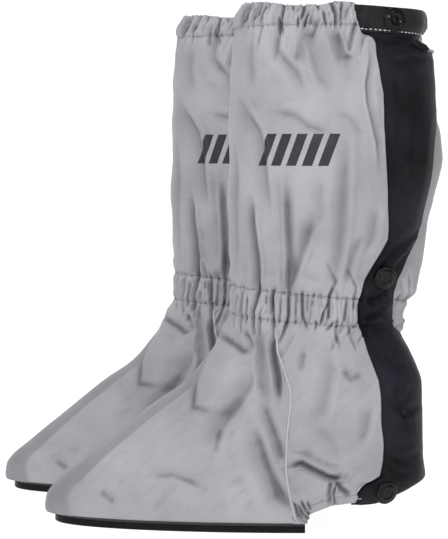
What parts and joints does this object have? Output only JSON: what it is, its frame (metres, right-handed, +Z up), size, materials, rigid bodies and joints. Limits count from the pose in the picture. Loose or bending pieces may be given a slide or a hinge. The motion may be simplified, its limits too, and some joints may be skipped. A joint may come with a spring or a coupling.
{
  "type": "pair of gaiters",
  "caption": "Pair of boot-covering gaiters in grey coated cloth with gathered top and ankle, black closing strip with press studs, and rubber half soles.",
  "frame": {"origin": "middle of the pair's underside, on the surface that the soles stand on", "axes": "+Z up, +X from toe to heel, +Y from the left gaiter to the right one"},
  "size_m": [0.3802, 0.2656, 0.44],
  "materials": {
    "grey_cloth": "satin",
    "black_cloth": "satin",
    "seam_binding": "satin",
    "elastic": "matte",
    "hook_tape": "matte",
    "loop_tape": "matte",
    "snap_plastic": "satin",
    "sole_rubber": "satin"
  },
  "bodies": {
    "left_foot": {"left_outsole": "sole_rubber", "left_welt": "sole_rubber", "left_vamp_outer": "grey_cloth", "left_vamp_inner": "grey_cloth", "left_heel_outer": "grey_cloth", "left_heel_inner": "grey_cloth", "left_side_seam_bindings": "seam_binding", "left_heel_hem": "grey_cloth", "left_heel_elastic": "elastic", "left_heel_loop_tape": "loop_tape", "left_heel_snap_stud": "snap_plastic"},
    "left_leg": {"left_leg_outer": "grey_cloth", "left_leg_inner": "grey_cloth", "left_top_hem": "grey_cloth", "left_top_elastic": "elastic", "left_ankle_sleeve": "grey_cloth", "left_ankle_elastic": "elastic", "left_leg_loop_tape": "loop_tape", "left_leg_snap_studs": "snap_plastic"},
    "left_leg_flap": {"left_leg_strip": "black_cloth", "left_top_tab": "black_cloth", "left_leg_hook_tape": "hook_tape", "left_leg_snap_caps": "snap_plastic", "left_leg_snap_sockets": "snap_plastic"},
    "left_heel_flap": {"left_heel_strip": "black_cloth", "left_heel_hook_tape": "hook_tape", "left_heel_snap_cap": "snap_plastic", "left_heel_snap_socket": "snap_plastic"},
    "right_foot": {"right_outsole": "sole_rubber", "right_welt": "sole_rubber", "right_vamp_outer": "grey_cloth", "right_vamp_inner": "grey_cloth", "right_heel_outer": "grey_cloth", "right_heel_inner": "grey_cloth", "right_side_seam_bindings": "seam_binding", "right_heel_hem": "grey_cloth", "right_heel_elastic": "elastic", "right_heel_loop_tape": "loop_tape", "right_heel_snap_stud": "snap_plastic"},
    "right_leg": {"right_leg_outer": "grey_cloth", "right_leg_inner": "grey_cloth", "right_top_hem": "grey_cloth", "right_top_elastic": "elastic", "right_ankle_sleeve": "grey_cloth", "right_ankle_elastic": "elastic", "right_leg_loop_tape": "loop_tape", "right_leg_snap_studs": "snap_plastic"},
    "right_leg_flap": {"right_leg_strip": "black_cloth", "right_top_tab": "black_cloth", "right_leg_hook_tape": "hook_tape", "right_leg_snap_caps": "snap_plastic", "right_leg_snap_sockets": "snap_plastic"},
    "right_heel_flap": {"right_heel_strip": "black_cloth", "right_heel_hook_tape": "hook_tape", "right_heel_snap_cap": "snap_plastic", "right_heel_snap_socket": "snap_plastic"}
  },
  "joints": [
    {"name": "left_ankle", "type": "hinge", "parent": "left_foot", "child": "left_leg", "pos_m": [0.09054, -0.0715, 0.188], "axis": [0, 1, 0], "range_deg": [-10, 10], "stiffness_Nm_per_rad": 1, "deforming": ["left_ankle_sleeve", "left_ankle_elastic"]},
    {"name": "left_leg_strip_open", "type": "hinge", "parent": "left_leg", "child": "left_leg_flap", "pos_m": [0.12854, -0.132, 0.3], "axis": [0, 0, -1], "range_deg": [0, 110]},
    {"name": "left_heel_strip_open", "type": "hinge", "parent": "left_foot", "child": "left_heel_flap", "pos_m": [0.12854, -0.132, 0.1], "axis": [0, 0, -1], "range_deg": [0, 110]},
    {"name": "right_ankle", "type": "hinge", "parent": "right_foot", "child": "right_leg", "pos_m": [0.03854, 0.0715, 0.188], "axis": [0, 1, 0], "range_deg": [-10, 10], "stiffness_Nm_per_rad": 1, "deforming": ["right_ankle_sleeve", "right_ankle_elastic"]},
    {"name": "right_leg_strip_open", "type": "hinge", "parent": "right_leg", "child": "right_leg_flap", "pos_m": [0.07654, 0.132, 0.3], "axis": [0, 0, 1], "range_deg": [0, 110]},
    {"name": "right_heel_strip_open", "type": "hinge", "parent": "right_foot", "child": "right_heel_flap", "pos_m": [0.07654, 0.132, 0.1], "axis": [0, 0, 1], "range_deg": [0, 110]},
    {"name": "pair_apart", "type": "slide", "parent": "left_foot", "child": "right_foot", "axis": [0, 0, 1], "range_m": [0, 0.46]}
  ],
  "couplings": [
    {"joint": "left_heel_strip_open", "follows": "left_leg_strip_open", "ratio": 1},
    {"joint": "right_heel_strip_open", "follows": "right_leg_strip_open", "ratio": 1}
  ]
}
